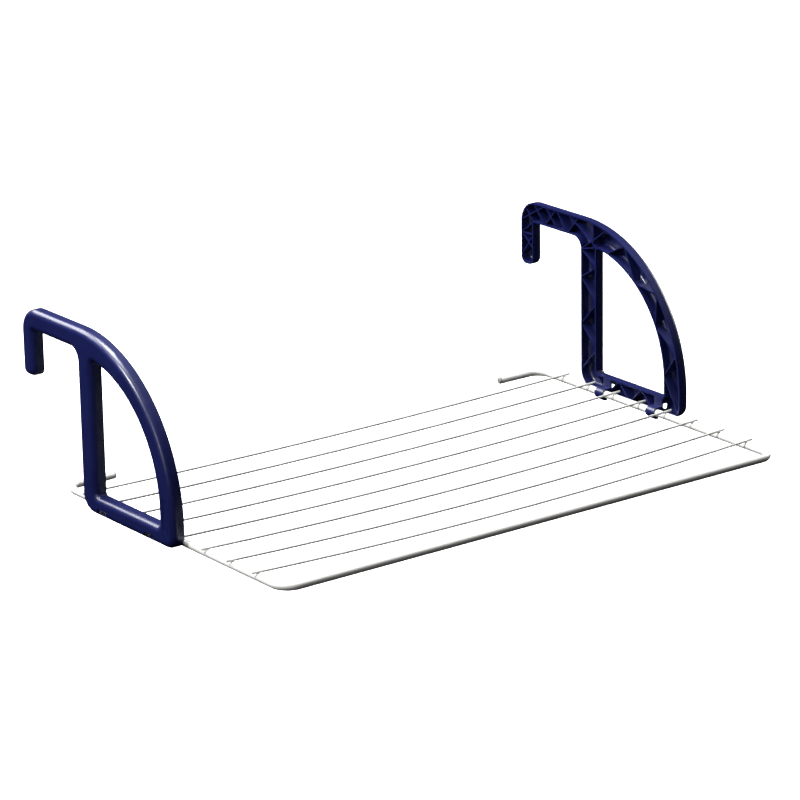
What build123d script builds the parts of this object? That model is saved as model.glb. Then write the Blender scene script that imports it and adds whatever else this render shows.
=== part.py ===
from build123d import *
import math
import os

# Hang-over drying rack: a flat "C" of steel tube carries eight line wires, and
# two open-backed plastic hook arms snap onto its side tubes. Each arm turns on
# the side tube it grips, so it folds down flat over the wires.
#
# Millimetres. +X runs along the wires, +Y points behind the rail that the
# hooks hang on and +Z points up. The origin lies midway between the two hooks:
# z = 0 is the top of the rail, y = 0 is its front face.

# ---- driving dimensions ----------------------------------------------------

# wires
wire_length = 800.0
wire_diameter = 3.2
wire_count = 8
wire_pitch = 54.0
wire_overhang = 8.5            # tip past the axis of the side tube
first_wire_y = 25.0            # rearmost wire, behind the rail's front face
sag_rear = 4.5                 # bow of the rearmost wire at mid-span
sag_front = 9.0                # bow of the front wire at mid-span
wire_drop = 201.5              # wires at the side tubes, below the rail's top

# frame tube
tube_diameter = 10.0
tube_wall = 1.0
corner_radius = 22.0           # bends, at the tube's axis
back_leg_length = 72.0         # side tube's axis to the open end

# end plugs
plug_dome = 3.0                # height of the rounded head
plug_depth = 12.0              # spigot inside the tube
plug_clearance = 0.05          # between spigot and bore, on the radius
plug_rounding = 0.9            # share of the dome's height that is rounded

# hook arm, side outline
hook_gap = 105.0               # thickest rail that the hook takes
hook_leg_width = 26.0
hook_leg_drop = 62.5           # hook's tip below the rail's top
beam_height = 28.0             # material above the rail
upright_width = 32.0
arm_reach = 208.0              # front of the arm, ahead of the rail's face
brace_foot_width = 32.5        # curved brace where it meets the bottom bar
window_arc_inset = 48.0        # its arc is tighter than the brace's outer arc
window_arc_rise = 13.0         # its centre above the outer arc's centre
bar_height = 24.0
bar_below_wires = 10.0         # underside of the bottom bar

hook_outer_radius = 30.0
hook_tip_radius = 10.0
hook_corner_radius = 2.0
rail_corner_radius = 16.0      # between the upright and the beam
heel_radius = 24.0
foot_radius = 18.0
window_radius = 5.0

# hook arm, section
arm_thickness = 17.3
arm_skin = 2.5
arm_wall = 2.2
nose_radius = 8.0              # rounding of the outer edges
rib_thickness = 1.6
rib_set_back = 0.6             # ribs stop short of the open rim
upright_rib_bay = 33.0         # height of the upright's four lower bays
brace_rib_turn = 12.0          # degrees of the brace from rib to rib
brace_rib_start = 76.0         # degrees above straight forward
bar_rib_bays = 6
beam_rib_bays = 4
panel_depth = 0.6
panel_width = 12.0
panel_height = 40.0
slot_height = 8.0              # slots in the skin, where the clips are moulded
slot_width = 22.0
slot_set_back = 10.0           # slot's middle behind its clip's middle

# hook arm, rib ends as shares of the length that they stand on
beam_rib_start = 0.05          # of the hook's gap
beam_cross_feet = (0.333, 0.5)
beam_cross_tops = (0.5, 0.75)
shoulder_rib_top = 0.286
shoulder_rib_reach = 2.0       # of the upright's width, ahead of the rail
shoulder_post = 0.8
hook_cross_top = 0.3           # of the hook's drop
hook_cross_bottom = 0.81
hook_cross_middle = 0.63

# clips, and how the arm runs on its tube
clip_width = 16.0
clip_wall = 2.5
clip_clearance = 0.08          # between clip and tube, on the radius
clip_start_angle = 15.0        # from straight outboard, over the tube's top
clip_end_angle = 275.0         # just past the tube's underside
clip_foot_width = 4.5
clip_foot_height = 3.75
fold_clearance = 0.4           # open rim above the wires when folded down
notch_side_clearance = 0.9     # beside the wire tips
notch_tip_clearance = 0.4      # round the wire tips as the arm turns

# ---- derived places --------------------------------------------------------

tube_radius = tube_diameter / 2
wire_radius = wire_diameter / 2
side_x = wire_length / 2 - wire_overhang
tube_z = -wire_drop - wire_radius - tube_radius
wire_ys = [first_wire_y - i * wire_pitch for i in range(wire_count)]
front_y = wire_ys[-1] - wire_pitch
back_y = first_wire_y + wire_pitch
bend_x = side_x - corner_radius
bend_y = back_y - corner_radius

rim_offset = tube_radius + wire_diameter + fold_clearance
rim_x = side_x + rim_offset
arm_top = beam_height
arm_bottom = -wire_drop - bar_below_wires
bar_top = arm_bottom + bar_height
arc_z = arm_top - arm_reach
window_reach = arm_reach - brace_foot_width
window_arc_radius = arm_reach - window_arc_inset
window_arc_y = window_arc_radius - window_reach
window_arc_z = arc_z + window_arc_rise
window_top = window_arc_z + math.sqrt(
    window_arc_radius**2 - (upright_width + window_arc_y) ** 2
)

# wires whose tips pass the arms' bottom bars, and the clips in the first and
# last gaps between them that lie under the straight part of a bar
notch_half_width = wire_radius + notch_side_clearance
bar_wires = [
    y for y in wire_ys if -arm_reach - notch_half_width < y < notch_half_width
]
bar_gaps = [(a + b) / 2 for a, b in zip(bar_wires, bar_wires[1:])]
clip_gaps = [
    y
    for y in bar_gaps
    if foot_radius - arm_reach + clip_width / 2 < y < -heel_radius - clip_width / 2
]
clip_ys = [clip_gaps[0], clip_gaps[-1]]


def export(piece, name):
    piece.part.label = name
    export_step(piece.part, f"parts/{name}.step")


def wire_sag(index):
    return sag_rear + (sag_front - sag_rear) * index / (wire_count - 1)


def wire_tip_rise(sag):
    """Height of the tip above the wire's seat on the tube, along its bow."""
    bow_radius = (side_x**2 + sag**2) / (2 * sag)
    return bow_radius - sag - math.sqrt(bow_radius**2 - (wire_length / 2) ** 2)


os.makedirs("parts", exist_ok=True)

# ---- frame tube ------------------------------------------------------------

# one bent tube, in five lengths that meet face to face: the front "U", and on
# each side the bend behind the rail and the straight leg that it turns into


def tube_section():
    with BuildSketch() as section:
        Circle(tube_radius)
        Circle(tube_radius - tube_wall, mode=Mode.SUBTRACT)
    return section.sketch


with BuildPart() as frame_tube:
    with BuildLine(Plane.XY.offset(tube_z)) as tube_axis:
        FilletPolyline(
            (-side_x, bend_y),
            (-side_x, front_y),
            (side_x, front_y),
            (side_x, bend_y),
            radius=corner_radius,
        )
    with BuildSketch(Plane(tube_axis.line @ 0, z_dir=tube_axis.line % 0)):
        add(tube_section())
    sweep()
export(frame_tube, "frame_tube")

for side, outboard, bend_start in (("left", -1, 90), ("right", 1, 0)):
    with BuildPart() as back_bend:
        with BuildLine(Plane.XY.offset(tube_z)) as bend_axis:
            CenterArc((outboard * bend_x, bend_y), corner_radius, bend_start, 90)
        with BuildSketch(Plane(bend_axis.line @ 0, z_dir=bend_axis.line % 0)):
            add(tube_section())
        sweep()
    export(back_bend, f"back_bend_{side}")

    leg_plane = Plane((outboard * bend_x, back_y, tube_z), z_dir=(-outboard, 0, 0))
    with BuildPart() as back_leg:
        with BuildSketch(leg_plane):
            add(tube_section())
        extrude(amount=back_leg_length - corner_radius)
    export(back_leg, f"back_leg_{side}")

# ---- end plugs -------------------------------------------------------------

spigot_radius = tube_radius - tube_wall - plug_clearance

for name, inboard in (("end_plug_left", 1), ("end_plug_right", -1)):
    plug_plane = Plane(
        (-inboard * (side_x - back_leg_length), back_y, tube_z),
        x_dir=(0, 1, 0),
        z_dir=(inboard, 0, 0),
    )
    with BuildPart() as end_plug:
        with BuildSketch(plug_plane):
            Circle(tube_radius)
        extrude(amount=plug_dome)
        dome_edge = end_plug.edges().sort_by(Axis((0, 0, 0), (inboard, 0, 0)))[-1]
        fillet(dome_edge, radius=plug_rounding * plug_dome)
        with BuildSketch(plug_plane):
            Circle(spigot_radius)
        extrude(amount=-plug_depth)
    export(end_plug, name)

# ---- line wires ------------------------------------------------------------

for index, wire_y in enumerate(wire_ys):
    sag = wire_sag(index)
    tip_z = -wire_drop + wire_tip_rise(sag)
    with BuildPart() as wire:
        with BuildLine(Plane.XZ.offset(-wire_y)) as bow:
            ThreePointArc(
                (-wire_length / 2, tip_z),
                (0, -wire_drop - sag),
                (wire_length / 2, tip_z),
            )
        with BuildSketch(Plane(bow.line @ 0, z_dir=bow.line % 0)):
            Circle(wire_radius)
        sweep()
    export(wire, f"line_wire_{index + 1}")

# ---- hook arms -------------------------------------------------------------


def arm_outline():
    """Side outline of an arm with its window, drawn with (y, z) as (x, y)."""
    with BuildSketch() as outline:
        with BuildLine():
            FilletPolyline(
                (0, arm_top),
                (hook_gap + hook_leg_width, arm_top),
                (hook_gap + hook_leg_width, -hook_leg_drop),
                (hook_gap, -hook_leg_drop),
                (hook_gap, 0),
                (0, 0),
                (0, arm_bottom),
                (-arm_reach, arm_bottom),
                (-arm_reach, arc_z),
                radius=[
                    hook_outer_radius,
                    hook_tip_radius,
                    hook_tip_radius,
                    hook_corner_radius,
                    rail_corner_radius,
                    heel_radius,
                    foot_radius,
                ],
            )
            CenterArc((0, arc_z), arm_reach, 90, 90)
        make_face()
        with BuildSketch(mode=Mode.SUBTRACT) as window:
            with BuildLine():
                Polyline(
                    (-upright_width, window_top),
                    (-upright_width, bar_top),
                    (-window_reach, bar_top),
                    (-window_reach, window_arc_z),
                )
                RadiusArc(
                    (-window_reach, window_arc_z),
                    (-upright_width, window_top),
                    window_arc_radius,
                )
            make_face()
            fillet(window.vertices().group_by(Axis.Y)[0], radius=window_radius)
            fillet(window.vertices().sort_by(Axis.Y)[-1], radius=window_radius)
    return outline.sketch


def brace_point(outer, degrees):
    """Point on the brace's outer or inner arc, by its angle above forward."""
    angle = math.radians(degrees)
    if outer:
        return (-arm_reach * math.cos(angle), arc_z + arm_reach * math.sin(angle))
    return (
        window_arc_y - window_arc_radius * math.cos(angle),
        window_arc_z + window_arc_radius * math.sin(angle),
    )


def zigzag(first, second, bays):
    """Points that alternate between two lines, each given by its two ends."""
    points = []
    for i in range(bays + 1):
        start, end = (first, second)[i % 2]
        share = i / bays
        points.append(
            (
                start[0] + (end[0] - start[0]) * share,
                start[1] + (end[1] - start[1]) * share,
            )
        )
    return points


def upright_ribs():
    rail_corner = -rail_corner_radius
    bays = int((rail_corner - bar_top) / upright_rib_bay) - 1
    lower_top = bar_top + bays * upright_rib_bay
    lower = zigzag(
        ((0, bar_top), (0, lower_top)),
        ((-upright_width, bar_top), (-upright_width, lower_top)),
        bays,
    )
    ends = ((0, lower_top), (0, rail_corner))
    far_ends = ((-upright_width, lower_top), (-upright_width, rail_corner))
    upper = zigzag(ends, far_ends, 2) if bays % 2 == 0 else zigzag(far_ends, ends, 2)
    return [lower, upper]


def brace_ribs():
    steps = int((brace_rib_start + brace_rib_turn) / brace_rib_turn) + 1
    angles = [brace_rib_start - i * brace_rib_turn for i in range(steps)]
    return [[brace_point(i % 2 == 1, angle) for i, angle in enumerate(angles)]]


def bar_ribs():
    ends = ((-upright_width, bar_top), (-window_reach, bar_top))
    far_ends = ((-upright_width, arm_bottom), (-window_reach, arm_bottom))
    return [zigzag(ends, far_ends, bar_rib_bays)]


def shoulder_ribs():
    """Where the upright, the beam and the brace meet."""
    rail_corner = (0, -rail_corner_radius)
    window_corner = (-upright_width, window_top)
    post_y = -shoulder_post * upright_width
    return [
        [rail_corner, window_corner],
        [window_corner, (shoulder_rib_top * hook_gap, arm_top)],
        [rail_corner, (-shoulder_rib_reach * upright_width, arm_top)],
        [(post_y, window_top), (post_y, arm_top)],
    ]


def beam_ribs():
    """Over the rail: a zigzag, with two ribs that cross it."""
    near = beam_rib_start * hook_gap
    top = ((near, arm_top), (hook_gap, arm_top))
    underside = ((near, 0), (hook_gap, 0))
    crossing = [
        [(foot * hook_gap, 0), (head * hook_gap, arm_top)]
        for foot, head in zip(beam_cross_feet, beam_cross_tops)
    ]
    return [zigzag(top, underside, beam_rib_bays)] + crossing


def hook_ribs():
    """The hook's corner, and a cross below a level rib in its leg."""
    leg_y = hook_gap + hook_leg_width
    level = -hook_cross_top * hook_leg_drop
    return [
        [(hook_gap, 0), (leg_y, arm_top)],
        [(beam_cross_tops[-1] * hook_gap, arm_top), (leg_y, 0)],
        [(hook_gap, 0), (leg_y, level)],
        [(hook_gap, level), (leg_y, level)],
        [(hook_gap, level), (leg_y, -hook_cross_bottom * hook_leg_drop)],
        [(hook_gap, -hook_cross_middle * hook_leg_drop), (leg_y, level)],
    ]


def clip_section():
    """Section of a snap clip and its root, centred on the side tube."""
    inner = tube_radius + clip_clearance
    outer = inner + clip_wall
    with BuildSketch() as section:
        # root plate that closes the rim, and the neck over the tube
        with Locations((rim_offset, arm_bottom - tube_z)):
            Rectangle(arm_wall, bar_height, align=(Align.MIN, Align.MIN))
        with Locations((0, tube_radius)):
            Rectangle(rim_offset + arm_wall, clip_wall, align=(Align.MIN, Align.MIN))
        # foot under the tube
        with Locations((0, -inner)):
            Rectangle(
                clip_foot_width, clip_foot_height, align=(Align.CENTER, Align.MAX)
            )
        Circle(inner, mode=Mode.SUBTRACT)
        SlotArc(
            CenterArc(
                (0, 0),
                (inner + outer) / 2,
                clip_start_angle,
                clip_end_angle - clip_start_angle,
            ),
            clip_wall,
        )
    return section.sketch


outline = arm_outline()

rim_plane = Plane.YZ.offset(rim_x)
skin_plane = Plane.YZ.offset(rim_x + arm_thickness)


def arm_core(wall, skin):
    """The arm's rounded shape, drawn in by a wall all round and a skin."""
    with BuildPart() as core:
        with BuildSketch(rim_plane):
            add(outline)
            offset(amount=-wall, mode=Mode.REPLACE)
        extrude(amount=arm_thickness - skin)
        fillet(core.faces().sort_by(Axis.X)[-1].edges(), radius=nose_radius - wall)
    return core.part


arm_hollow = arm_core(arm_wall, arm_skin)
rib_space = arm_core(arm_wall / 2, arm_skin / 2)

# ribs run from wall to wall and down to the skin, and end inside both
with BuildPart() as arm_ribs:
    with BuildSketch(rim_plane.offset(rib_set_back)):
        for points in (
            upright_ribs()
            + brace_ribs()
            + bar_ribs()
            + shoulder_ribs()
            + beam_ribs()
            + hook_ribs()
        ):
            with BuildLine(mode=Mode.PRIVATE) as rib_line:
                Polyline(*points)
            trace(rib_line.line, line_width=rib_thickness)
    extrude(amount=arm_thickness - rib_set_back)
    add(rib_space, mode=Mode.INTERSECT)

with BuildPart() as arm_right:
    # solid shape, its outer edges rounded over, and hollow on the inboard side
    with BuildSketch(rim_plane):
        add(outline)
    extrude(amount=arm_thickness)
    fillet(arm_right.faces().sort_by(Axis.X)[-1].edges(), radius=nose_radius)
    add(arm_hollow, mode=Mode.SUBTRACT)
    add(arm_ribs.part)

    # snap clips round the side tube, on root plates that close the rim
    for clip_y in clip_ys:
        with BuildSketch(Plane.XZ.offset(-clip_y - clip_width / 2)):
            with Locations((side_x, tube_z)):
                add(clip_section())
        extrude(amount=clip_width)

    # slots beside the clips, as deep as the rounding that they open through
    for clip_y in clip_ys:
        with BuildSketch(skin_plane):
            with Locations((clip_y + slot_set_back, arm_bottom + arm_wall)):
                Rectangle(slot_width, slot_height, align=(Align.CENTER, Align.MIN))
        extrude(amount=-nose_radius, mode=Mode.SUBTRACT)

    # sunken panel low on the front leg
    with BuildSketch(skin_plane):
        with BuildLine():
            panel_rear = -window_reach - (brace_foot_width - panel_width) / 2
            panel_front = panel_rear - panel_width
            Polyline(
                (panel_rear, bar_top),
                (panel_rear, bar_top + panel_height),
                (panel_front, bar_top + panel_height),
                (panel_front, bar_top - panel_width),
                close=True,
            )
        make_face()
    extrude(amount=-panel_depth, mode=Mode.SUBTRACT)

    # notches that let the wire tips through as the arm folds
    notch_radius = math.hypot(
        wire_overhang,
        tube_radius + wire_diameter + wire_tip_rise(sag_front),
    )
    for wire_y in bar_wires:
        with BuildSketch(Plane.XZ.offset(-wire_y - notch_half_width)):
            with Locations((side_x, tube_z)):
                Circle(notch_radius + notch_tip_clearance)
        extrude(amount=2 * notch_half_width, mode=Mode.SUBTRACT)
export(arm_right, "hook_arm_right")

with BuildPart() as arm_left:
    mirror(arm_right.part, about=Plane.YZ)
export(arm_left, "hook_arm_left")
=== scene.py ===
import math

import bpy
from mathutils import Matrix, Vector


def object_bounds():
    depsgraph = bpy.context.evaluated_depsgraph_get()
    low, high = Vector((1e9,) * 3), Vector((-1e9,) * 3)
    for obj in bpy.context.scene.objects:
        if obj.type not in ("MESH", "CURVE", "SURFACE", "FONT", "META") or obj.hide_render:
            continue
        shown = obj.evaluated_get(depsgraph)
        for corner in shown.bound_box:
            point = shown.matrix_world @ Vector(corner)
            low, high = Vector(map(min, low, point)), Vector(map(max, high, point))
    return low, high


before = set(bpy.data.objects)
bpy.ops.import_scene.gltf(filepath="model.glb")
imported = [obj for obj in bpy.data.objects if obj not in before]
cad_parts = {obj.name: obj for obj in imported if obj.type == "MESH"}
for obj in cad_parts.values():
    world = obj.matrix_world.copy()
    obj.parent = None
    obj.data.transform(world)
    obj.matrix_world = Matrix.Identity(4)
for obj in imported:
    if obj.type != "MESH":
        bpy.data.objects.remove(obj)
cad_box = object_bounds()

# Hang-over drying rack: white coated tube frame and line wires, carried by two
# navy moulded hook arms. Everything is in metres, in the CAD model's frame.

# ---- camera ----------------------------------------------------------------

CAMERA_AZIMUTH = math.radians(-36.52)
CAMERA_ELEVATION = math.radians(17.70)
CAMERA_ROLL = math.radians(-0.99)
CAMERA_DISTANCE = 5.008
CAMERA_AIM_OFFSET = Vector((-0.015, 0.005, -0.0155))    # from the model's centre
CAMERA_LENS = 174.4                                     # mm
SENSOR_WIDTH = 36.0                                     # mm
FAR_CLIP = 200.0
CAMERA_SHIFT = (0.0012, -0.0049)

# ---- stage -----------------------------------------------------------------

FLOOR_GAP = 0.32             # floor below the hanging rack
FLOOR_SIZE = 60.0

# studio light by height: 0 is straight down, 0.5 the horizon, 1 overhead
SKY_STOPS = [
    (0.50, (0.006, 0.006, 0.006, 1)),
    (0.80, (0.022, 0.022, 0.022, 1)),
    (0.93, (0.30, 0.30, 0.30, 1)),
    (0.99, (0.8, 0.8, 0.8, 1)),
]
SKY_STRENGTH = 1.0

# softboxes: direction from the model's centre, distance, size and power
SOFTBOXES = [
    ("back", (-0.29, 0.77, 0.62), 3.0, (1.9, 1.1), 66),
    ("front", (-0.80, -0.42, 0.38), 3.2, (0.6, 1.1), 13),
    ("side", (-0.70, 0.10, 0.62), 3.2, (0.6, 0.6), 72),
    ("top", (-0.15, 0.35, 0.93), 3.0, (1.6, 1.2), 130),
    ("fill", (0.96, 0.02, 0.28), 3.2, (1.3, 1.0), 40),
]

FLOOR_SHADE = 0.95
FLOOR_GLOW = 1.0             # lit floor, so that it meets the background without an edge

# ---- colours, linear ---------------------------------------------------------

NAVY_DARK = (0.0064, 0.0092, 0.068, 1)
NAVY_LIGHT = (0.0092, 0.0132, 0.092, 1)
TUBE_SHADE = 0.86
WIRE_SHADE_WITH_PAINTED_SHADE = 0.66            # painted shade: the wires wear the tube's white coat, and this grey, below the tube's, darkens them so that thin wires show on white
COAT_TINT_DARK = (0.96, 0.955, 0.925)
COAT_TINT_LIGHT = (1, 0.995, 0.965)
PLUG_SHADES = (0.26, 0.32)


def build_camera(centre):
    a, e = CAMERA_AZIMUTH, CAMERA_ELEVATION
    back = Vector((math.sin(a) * math.cos(e), -math.cos(a) * math.cos(e), math.sin(e)))
    right = Vector((0, 0, 1)).cross(back).normalized()
    up = back.cross(right)
    upright = Matrix((right, up, back)).transposed()
    data = bpy.data.cameras.new("camera")
    data.lens = CAMERA_LENS
    data.sensor_width = SENSOR_WIDTH
    data.shift_x, data.shift_y = CAMERA_SHIFT
    data.clip_end = FAR_CLIP
    camera = bpy.data.objects.new("camera", data)
    bpy.context.scene.collection.objects.link(camera)
    turn = upright @ Matrix.Rotation(CAMERA_ROLL, 3, "Z")
    camera.matrix_world = Matrix.Translation(
        centre + CAMERA_AIM_OFFSET + back * CAMERA_DISTANCE
    ) @ turn.to_4x4()
    bpy.context.scene.camera = camera


def add_area_light(name, place, target, size, power):
    data = bpy.data.lights.new(name, "AREA")
    data.shape = "RECTANGLE"
    data.size, data.size_y = size
    data.energy = power
    light = bpy.data.objects.new(name, data)
    bpy.context.scene.collection.objects.link(light)
    light.location = place
    light.rotation_euler = (target - place).to_track_quat("-Z", "Y").to_euler()


def build_world():
    """Soft white light from overhead, dim towards the horizon and below it."""
    world = bpy.data.worlds.new("studio")
    bpy.context.scene.world = world
    world.use_nodes = True
    nodes, links = world.node_tree.nodes, world.node_tree.links
    background = nodes["Background"]
    place = nodes.new("ShaderNodeTexCoord")
    split = nodes.new("ShaderNodeSeparateXYZ")
    fade = nodes.new("ShaderNodeValToRGB")
    elements = fade.color_ramp.elements
    elements[0].position, elements[0].color = SKY_STOPS[0]
    elements[1].position, elements[1].color = SKY_STOPS[-1]
    for position, colour in SKY_STOPS[1:-1]:
        elements.new(position).color = colour
    height = nodes.new("ShaderNodeMapRange")
    height.inputs["From Min"].default_value = -1
    links.new(place.outputs["Generated"], split.inputs[0])
    links.new(split.outputs["Z"], height.inputs["Value"])
    links.new(height.outputs[0], fade.inputs[0])
    links.new(fade.outputs[0], background.inputs["Color"])
    background.inputs["Strength"].default_value = SKY_STRENGTH


def build_floor(low_z):
    mesh = bpy.data.meshes.new("floor")
    half = FLOOR_SIZE / 2
    corners = [(-half, -half, 0), (half, -half, 0), (half, half, 0), (-half, half, 0)]
    mesh.from_pydata(corners, [], [(0, 1, 2, 3)])
    floor = bpy.data.objects.new("floor", mesh)
    bpy.context.scene.collection.objects.link(floor)
    floor.location.z = low_z - FLOOR_GAP
    material = bpy.data.materials.new("floor")
    material.use_nodes = True
    shader = material.node_tree.nodes["Principled BSDF"]
    shader.inputs["Base Color"].default_value = grey(FLOOR_SHADE)
    shader.inputs["Roughness"].default_value = 0.9
    shader.inputs["Specular IOR Level"].default_value = 0.0
    shader.inputs["Emission Color"].default_value = (1, 1, 1, 1)
    shader.inputs["Emission Strength"].default_value = FLOOR_GLOW
    mesh.materials.append(material)
    # the floor is far below the hanging rack, so it throws no light back up
    floor.visible_diffuse = False
    floor.visible_glossy = False


# ---- materials -------------------------------------------------------------


def new_material(name):
    material = bpy.data.materials.new(name)
    material.use_nodes = True
    tree = material.node_tree
    return material, tree, tree.nodes["Principled BSDF"]


def noise(tree, scale, detail=3.0, roughness=0.5):
    place = tree.nodes.new("ShaderNodeTexCoord")
    texture = tree.nodes.new("ShaderNodeTexNoise")
    texture.inputs["Scale"].default_value = scale
    texture.inputs["Detail"].default_value = detail
    texture.inputs["Roughness"].default_value = roughness
    tree.links.new(place.outputs["Object"], texture.inputs["Vector"])
    return texture.outputs["Fac"]


def ramp(tree, factor, stops):
    node = tree.nodes.new("ShaderNodeValToRGB")
    elements = node.color_ramp.elements
    for element, (position, colour) in zip(elements, stops):
        element.position = position
        element.color = colour
    for position, colour in stops[2:]:
        elements.new(position).color = colour
    tree.links.new(factor, node.inputs[0])
    return node.outputs["Color"]


def grey(value):
    return (value, value, value, 1)


def bump(tree, height, strength, distance, base=None):
    node = tree.nodes.new("ShaderNodeBump")
    node.inputs["Strength"].default_value = strength
    node.inputs["Distance"].default_value = distance
    tree.links.new(height, node.inputs["Height"])
    if base is not None:
        tree.links.new(base, node.inputs["Normal"])
    return node.outputs["Normal"]


def navy_plastic():
    """Glossy polypropylene moulding: deep navy, faint flow clouding, fine grain."""
    material, tree, shader = new_material("navy_plastic")
    cloud = noise(tree, 14, 4, 0.55)
    colour = ramp(tree, cloud, [(0.3, NAVY_DARK), (0.7, NAVY_LIGHT)])
    tree.links.new(colour, shader.inputs["Base Color"])
    sheen_spots = noise(tree, 90, 3, 0.6)
    gloss = ramp(tree, sheen_spots, [(0.3, grey(0.29)), (0.72, grey(0.38))])
    tree.links.new(gloss, shader.inputs["Roughness"])
    waves = bump(tree, noise(tree, 45, 2, 0.4), 0.10, 0.0006)
    grain = bump(tree, noise(tree, 1500, 2, 0.5), 0.12, 0.00008, waves)
    tree.links.new(grain, shader.inputs["Normal"])
    shader.inputs["Specular IOR Level"].default_value = 0.55
    shader.inputs["Coat Weight"].default_value = 0.25
    shader.inputs["Coat Roughness"].default_value = 0.2
    return material


def tinted(shade, tint):
    return (*(shade * part for part in tint), 1)


def coated_steel(name, shade, grain_scale, gloss_low, gloss_high):
    """White plastic coat over steel: slightly cloudy, with an orange-peel skin."""
    material, tree, shader = new_material(name)
    cloud = noise(tree, 22, 3, 0.5)
    tints = [(0.3, tinted(shade, COAT_TINT_DARK)), (0.7, tinted(shade, COAT_TINT_LIGHT))]
    tree.links.new(ramp(tree, cloud, tints), shader.inputs["Base Color"])
    sheen_spots = noise(tree, 160, 3, 0.6)
    gloss = ramp(tree, sheen_spots, [(0.3, grey(gloss_low)), (0.7, grey(gloss_high))])
    tree.links.new(gloss, shader.inputs["Roughness"])
    peel = bump(tree, noise(tree, grain_scale, 2, 0.45), 0.16, 0.00010)
    tree.links.new(peel, shader.inputs["Normal"])
    shader.inputs["Coat Weight"].default_value = 0.35
    shader.inputs["Coat Roughness"].default_value = 0.12
    return material


def plug_plastic():
    """Matte grey moulding with a fine grain."""
    material, tree, shader = new_material("end_plug")
    dark, light = PLUG_SHADES
    colour = ramp(tree, noise(tree, 300, 3), [(0.3, grey(dark)), (0.7, grey(light))])
    tree.links.new(colour, shader.inputs["Base Color"])
    gloss = ramp(tree, noise(tree, 500, 2), [(0.3, grey(0.45)), (0.7, grey(0.6))])
    tree.links.new(gloss, shader.inputs["Roughness"])
    tree.links.new(bump(tree, noise(tree, 1800, 2), 0.2, 0.00008), shader.inputs["Normal"])
    return material


def paint(node_name, material):
    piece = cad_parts[node_name]
    piece.data.materials.clear()
    piece.data.materials.append(material)


# ---- the scene -------------------------------------------------------------

scene = bpy.context.scene
scene.view_settings.view_transform = "Standard"

low, high = (Vector(corner) for corner in cad_box)
centre = (low + high) / 2

build_camera(centre)
build_world()
build_floor(low.z)
for name, direction, distance, size, power in SOFTBOXES:
    place = centre + Vector(direction).normalized() * distance
    add_area_light(name, place, centre, size, power)

arm_material = navy_plastic()
tube_material = coated_steel("white_coated_steel", TUBE_SHADE, 900, 0.28, 0.40)
# painted shade: the wire coat is the tube's white, made darker so that thin wires show on
# white
wire_material = coated_steel("white_coated_wire", WIRE_SHADE_WITH_PAINTED_SHADE, 1300, 0.34, 0.48)
plug_material = plug_plastic()
for node_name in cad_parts:
    if node_name.startswith("hook_arm"):
        paint(node_name, arm_material)
    elif node_name.startswith("line_wire"):
        paint(node_name, wire_material)
    elif node_name.startswith("end_plug"):
        paint(node_name, plug_material)
    else:
        paint(node_name, tube_material)
